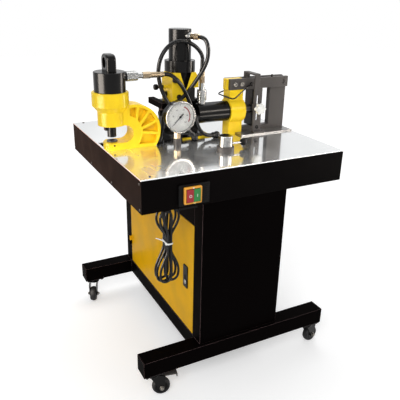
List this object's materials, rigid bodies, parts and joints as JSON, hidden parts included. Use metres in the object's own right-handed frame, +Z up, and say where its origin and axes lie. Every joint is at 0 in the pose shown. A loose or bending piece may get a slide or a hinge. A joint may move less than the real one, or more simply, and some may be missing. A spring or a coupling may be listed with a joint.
{
  "type": "busbar processing machine",
  "caption": "Wheeled hydraulic bench with punching, shearing and bending heads, a pressure gauge, a selector valve, hoses, a push-button switch and a pump cabinet below.",
  "frame": {"origin": "on the floor, under the middle of the machine's bounding box", "axes": "+Z up, +X along the bench's front edge with the punch at the low end, +Y from the switch side to the back"},
  "size_m": [0.78, 0.758, 1.178],
  "materials": {
    "black_paint": "satin",
    "door_yellow": "satin",
    "cast_yellow": "gloss",
    "switch_yellow": "gloss",
    "black_steel": "gloss",
    "dark_steel": "satin",
    "ground_steel": "satin",
    "zinc_steel": "satin",
    "polished_sheet": "polished",
    "chrome": "polished",
    "brass": "satin",
    "cast_aluminium": "satin",
    "motor_paint": "satin",
    "wheel_rubber": "matte",
    "hose_rubber": "satin",
    "black_plastic": "satin",
    "grey_plastic": "satin",
    "white_plastic": "gloss",
    "dial_white": "matte",
    "green_plastic": "gloss",
    "red_plastic": "gloss"
  },
  "bodies": {
    "bench": {"stand_frame": "black_paint", "cabinet_panels": "black_paint", "table_top": "polished_sheet", "table_aprons": "black_paint", "machine_screws": "dark_steel", "castor_plates": "black_steel", "punch_frame": "cast_yellow", "punch_cylinder": "black_steel", "punch_stripper": "black_steel", "punch_die": "dark_steel", "lifting_eye": "black_steel", "cutter_frame": "cast_yellow", "cutter_body": "black_steel", "cutter_cylinder": "black_steel", "cutter_arm": "black_steel", "bender_cylinder": "black_steel", "bender_body": "cast_yellow", "bender_frame": "dark_steel", "bender_base_plate": "ground_steel", "stop_bracket": "dark_steel", "gauge_case": "chrome", "gauge_dial": "dial_white", "gauge_stem": "brass", "valve_body": "dark_steel", "punch_hose": "hose_rubber", "cutter_hose": "hose_rubber", "bender_hose": "hose_rubber", "brass_hose_ends": "brass", "coupler_sleeves": "chrome", "switch_box": "black_plastic", "switch_plate": "switch_yellow", "power_cord_hank": "hose_rubber", "cord_plug": "black_plastic", "oil_tank": "black_paint", "pump_block": "cast_aluminium", "pump_motor": "motor_paint"},
    "door": {"cabinet_door": "door_yellow", "latch_plate": "black_plastic"},
    "latch": {"latch_core": "chrome"},
    "fork_front_left": {"castor_fork_front_left": "black_steel"},
    "fork_front_right": {"castor_fork_front_right": "black_steel"},
    "fork_rear_left": {"castor_fork_rear_left": "black_steel"},
    "fork_rear_right": {"castor_fork_rear_right": "black_steel"},
    "wheel_front_left": {"castor_wheel_front_left": "wheel_rubber"},
    "wheel_front_right": {"castor_wheel_front_right": "wheel_rubber"},
    "wheel_rear_left": {"castor_wheel_rear_left": "wheel_rubber"},
    "wheel_rear_right": {"castor_wheel_rear_right": "wheel_rubber"},
    "pedal": {"brake_pedal": "grey_plastic"},
    "punch": {"punch_ram": "ground_steel"},
    "shear": {"cutter_ram": "ground_steel", "cutter_blade": "ground_steel"},
    "bender": {"bender_ram": "ground_steel", "bender_pusher": "black_steel"},
    "stop": {"stop_block": "dark_steel"},
    "knob": {"star_knob": "white_plastic"},
    "bail_handle": {"bail": "black_steel"},
    "needle": {"gauge_needle": "black_plastic"},
    "lever": {"valve_lever": "chrome"},
    "start": {"start_button": "green_plastic"},
    "halt": {"stop_button": "red_plastic"}
  },
  "joints": [
    {"name": "door_hinge", "type": "hinge", "parent": "bench", "child": "door", "pos_m": [-0.159, 0.30675, 0.37775], "axis": [0, 0, -1], "range_deg": [0, 150]},
    {"name": "latch_turn", "type": "hinge", "parent": "door", "child": "latch", "pos_m": [-0.154, -0.2395, 0.351], "axis": [1, 0, 0], "range_deg": [0, 90]},
    {"name": "swivel_front_left", "type": "hinge", "parent": "bench", "child": "fork_front_left", "pos_m": [-0.325, -0.339, 0.09], "axis": [0, 0, 1], "continuous": true},
    {"name": "swivel_front_right", "type": "hinge", "parent": "bench", "child": "fork_front_right", "pos_m": [0.331, -0.339, 0.09], "axis": [0, 0, 1], "continuous": true},
    {"name": "swivel_rear_left", "type": "hinge", "parent": "bench", "child": "fork_rear_left", "pos_m": [-0.325, 0.346, 0.09], "axis": [0, 0, 1], "continuous": true},
    {"name": "swivel_rear_right", "type": "hinge", "parent": "bench", "child": "fork_rear_right", "pos_m": [0.331, 0.346, 0.09], "axis": [0, 0, 1], "continuous": true},
    {"name": "roll_front_left", "type": "hinge", "parent": "fork_front_left", "child": "wheel_front_left", "pos_m": [-0.29761, -0.34482, 0.032], "axis": [0.2079, 0.9781, 0], "continuous": true},
    {"name": "roll_front_right", "type": "hinge", "parent": "fork_front_right", "child": "wheel_front_right", "pos_m": [0.35828, -0.3327, 0.032], "axis": [-0.225, 0.9744, 0], "continuous": true},
    {"name": "roll_rear_left", "type": "hinge", "parent": "fork_rear_left", "child": "wheel_rear_left", "pos_m": [-0.33727, 0.32083, 0.032], "axis": [0.8988, -0.4384, 0], "continuous": true},
    {"name": "roll_rear_right", "type": "hinge", "parent": "fork_rear_right", "child": "wheel_rear_right", "pos_m": [0.30469, 0.35558, 0.032], "axis": [-0.342, -0.9397, 0], "continuous": true},
    {"name": "pedal_tip", "type": "hinge", "parent": "fork_front_left", "child": "pedal", "pos_m": [-0.28979, -0.34648, 0.076], "axis": [0.2079, 0.9781, 0], "range_deg": [0, 14]},
    {"name": "punch_stroke", "type": "slide", "parent": "bench", "child": "punch", "axis": [0, 0, -1], "range_m": [0, 0.015]},
    {"name": "shear_stroke", "type": "slide", "parent": "bench", "child": "shear", "axis": [0, 0, -1], "range_m": [0, 0.034]},
    {"name": "bender_stroke", "type": "slide", "parent": "bench", "child": "bender", "axis": [1, 0, 0], "range_m": [0, 0.042]},
    {"name": "stop_slide", "type": "slide", "parent": "bench", "child": "stop", "axis": [0, 0, 1], "range_m": [-0.03, 0.03]},
    {"name": "knob_turn", "type": "hinge", "parent": "stop", "child": "knob", "pos_m": [0.225, -0.0563, 0.9], "axis": [0, -1, 0], "continuous": true},
    {"name": "bail_swing", "type": "hinge", "parent": "bench", "child": "bail_handle", "pos_m": [0.215, 0.002, 0.984], "axis": [0, 1, 0], "range_deg": [0, 80]},
    {"name": "needle_turn", "type": "hinge", "parent": "bench", "child": "needle", "pos_m": [-0.106, -0.088, 0.901], "axis": [0, 1, 0], "range_deg": [0, 270]},
    {"name": "valve_turn", "type": "hinge", "parent": "bench", "child": "lever", "pos_m": [0.011, -0.196, 0.82], "axis": [0, 0, 1], "range_deg": [-60, 60]},
    {"name": "start_press", "type": "slide", "parent": "bench", "child": "start", "axis": [0, 1, 0], "range_m": [0, 0.003], "stiffness_N_per_m": 300, "springref_m": -0.001},
    {"name": "stop_press", "type": "slide", "parent": "bench", "child": "halt", "axis": [0, 1, 0], "range_m": [0, 0.003], "stiffness_N_per_m": 300, "springref_m": -0.001}
  ]
}
